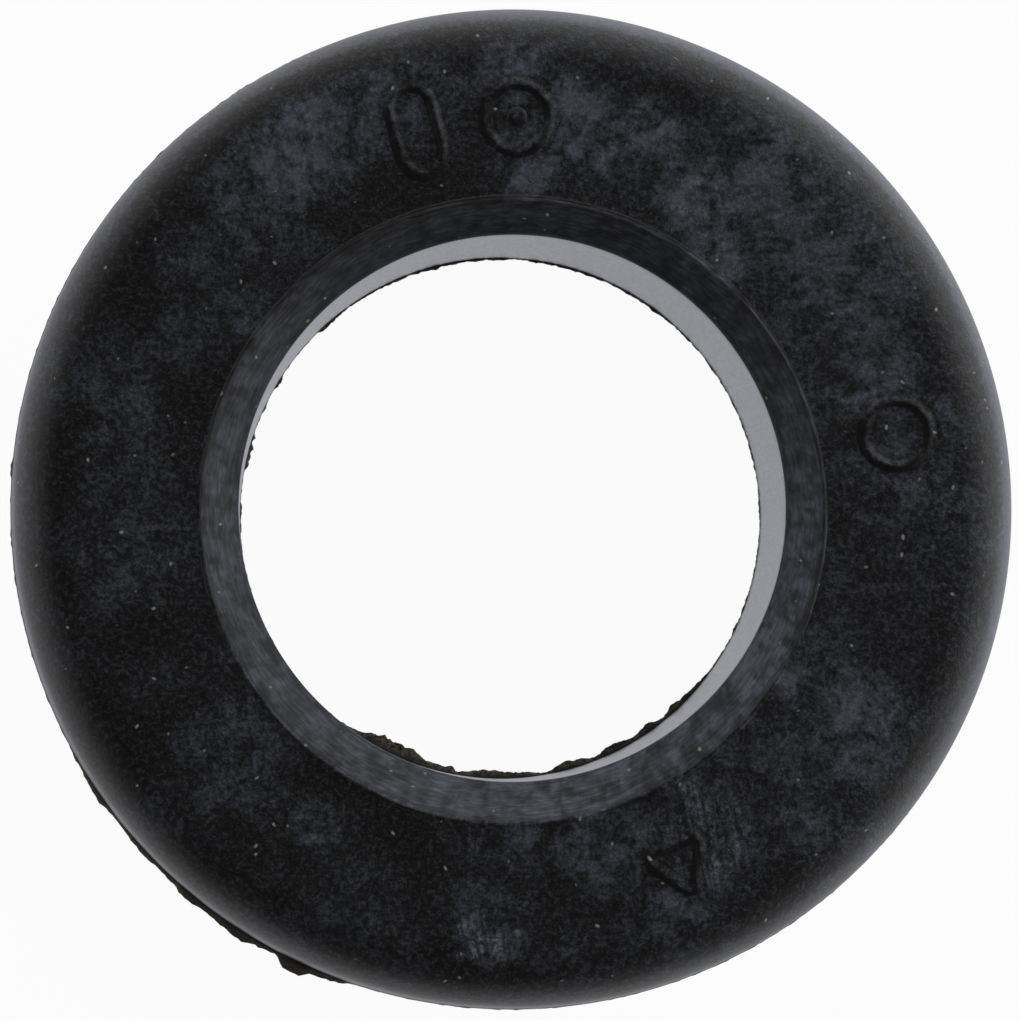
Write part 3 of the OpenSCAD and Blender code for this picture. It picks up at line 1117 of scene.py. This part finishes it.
def joined_mesh(name, parts):
    """One mesh from several, with faces that point outwards."""
    whole = bmesh.new()
    for part in parts:
        whole.from_mesh(part.data)
    bmesh.ops.recalc_face_normals(whole, faces=whole.faces)
    mesh = bpy.data.meshes.new(name)
    whole.to_mesh(mesh)
    whole.free()
    return mesh


plain_grommet = joined_mesh("moulded_grommet", [body, marks])
grommet = apply_tree("moulded_grommet", weathering_tree(rubber), {"Marks": marks}, start=plain_grommet)
for part in (body, marks):
    bpy.data.objects.remove(part)
grommet.data.transform(Matrix.Scale(MM, 4))
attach(grommet, "root")
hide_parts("grommet")
grommet.data.calc_loop_triangles()
print("triangles:", len(grommet.data.loop_triangles), "vertices:", len(grommet.data.vertices))

# %% [markdown]
# ## Floor and light
#
# The grommet stands on a plain white floor, a hair below its base so that the two surfaces don't flicker
# in each other. The floor shows as white to the camera and in reflections, because the rubber's steep
# walls mirror it, and it still takes the object's soft shadow. In reflections it is a little blue, as the
# photograph's studio was. From below it can't be seen, so that the base can be looked at too.

# %% Floor
FLOOR_HALF = 3.0
FLOOR_GAP = 0.01 * MM
FLOOR_GLOW = 0.95
WHITE = (1, 1, 1)
MIRROR_TINT = (0.92, 0.94, 1.0)


def paper_material():
    """White paper that glows plainly where it is seen or mirrored, and is clear from its back."""
    material = bpy.data.materials.new("white_paper")
    material.use_nodes = True
    tree = material.node_tree
    shader = tree.nodes["Principled BSDF"]
    shader.inputs["Base Color"].default_value = (0.9, 0.9, 0.9, 1)
    shader.inputs["Roughness"].default_value = 0.9
    path = tree.nodes.new("ShaderNodeLightPath").outputs
    mirrored = Value(path["Is Glossy Ray"])
    seen = Value(path["Is Camera Ray"]).at_least(mirrored).at_least(Value(path["Is Transmission Ray"]))
    tint = blend_vector(mirrored, WHITE, MIRROR_TINT)
    glow = add(tree, "ShaderNodeEmission", "Emission", {"Color": tint, "Strength": 1.0})
    behind = add(tree, "ShaderNodeNewGeometry", "Backfacing")
    clear = add(tree, "ShaderNodeBsdfTransparent", "BSDF")
    sources = {0: seen * FLOOR_GLOW, 1: Value(shader.outputs["BSDF"]), 2: glow}
    paper = add(tree, "ShaderNodeMixShader", "Shader", sources)
    surface = add(tree, "ShaderNodeMixShader", "Shader", {0: behind, 1: paper, 2: clear})
    wire(tree.nodes["Material Output"].inputs["Surface"], surface)
    return material


def floor_object():
    """A wide plain floor just below height zero."""
    mesh = bpy.data.meshes.new("floor")
    half = FLOOR_HALF
    corners = [(-half, -half), (half, -half), (half, half), (-half, half)]
    mesh.from_pydata([(x, y, -FLOOR_GAP) for x, y in corners], [], [(0, 1, 2, 3)])
    mesh.materials.append(paper_material())
    return new_object("floor", mesh)


floor = floor_object()
print("floor:", 2 * FLOOR_HALF, "m wide")

# %% [markdown]
# The surround is a pale world that is bright low down, on the right and at the upper left, and dim
# overhead. A flat black face mirrors what is overhead and stays black, while every edge that turns away
# from the camera catches light. It gives a level face a little over half of full light, and one large soft
# light adds to it.

# %% Surround
# Directions in degrees round the axis and the spans that the light goes by: where most of it comes from,
# and where a weaker window is
BRIGHT_SIDE = (25, -0.1, 1.0)
SECOND_SIDE = (145, 0.0, 1.0, 0.0, 0.45)
# Light of the walls and of the band just above the floor: more on the bright side, and how much all round
WALL_LIGHT = (1.9, 0.08)
BAND_LIGHT = (6.5, 1.8)
# Heights, as the sine of the elevation, between which each of them ends
WALL_ENDS = (0.3, 0.92, 1.0, 0.0)
BAND_ENDS = (0.05, 0.16, 1.0, 0.0)
OVERHEAD_LIGHT = 0.1


def surround():
    """A pale world that is white low down and dim overhead."""
    world = bpy.data.worlds.new("surround")
    world.use_nodes = True
    tree = world.node_tree
    spot = Spot(add(tree, "ShaderNodeTexCoord", "Generated"))
    side = spot.by_side(*BRIGHT_SIDE) + spot.by_side(*SECOND_SIDE)
    walls = (side * WALL_LIGHT[0] + WALL_LIGHT[1]) * spot.z.remap(*WALL_ENDS)
    band = (side * BAND_LIGHT[0] + BAND_LIGHT[1]) * spot.z.remap(*BAND_ENDS)
    background = tree.nodes["Background"].inputs
    wire(background["Strength"], walls + band + OVERHEAD_LIGHT)
    background["Color"].default_value = (1, 1, 1, 1)
    bpy.context.scene.world = world
    print("nodes in the surround:", len(tree.nodes))


surround()


# %% Soft light
def soft_light(name, azimuth, elevation, distance, size, power):
    """A square light that looks at the object from an azimuth and an elevation, both in degrees."""
    data = bpy.data.lights.new(name, "AREA")
    data.shape = "SQUARE"
    data.size = size
    data.energy = power
    made = new_object(name, data)
    level = math.cos(math.radians(elevation))
    direction = Vector((
        level * math.cos(math.radians(azimuth)),
        level * math.sin(math.radians(azimuth)),
        math.sin(math.radians(elevation)),
    ))
    made.location = direction * distance
    made.rotation_euler = (-direction).to_track_quat("-Z", "Y").to_euler()
    made.visible_camera = False


soft_light("key", azimuth=38, elevation=40, distance=1.2, size=1.2, power=3.0)

# %% View settings
bpy.context.scene.view_settings.view_transform = "Standard"
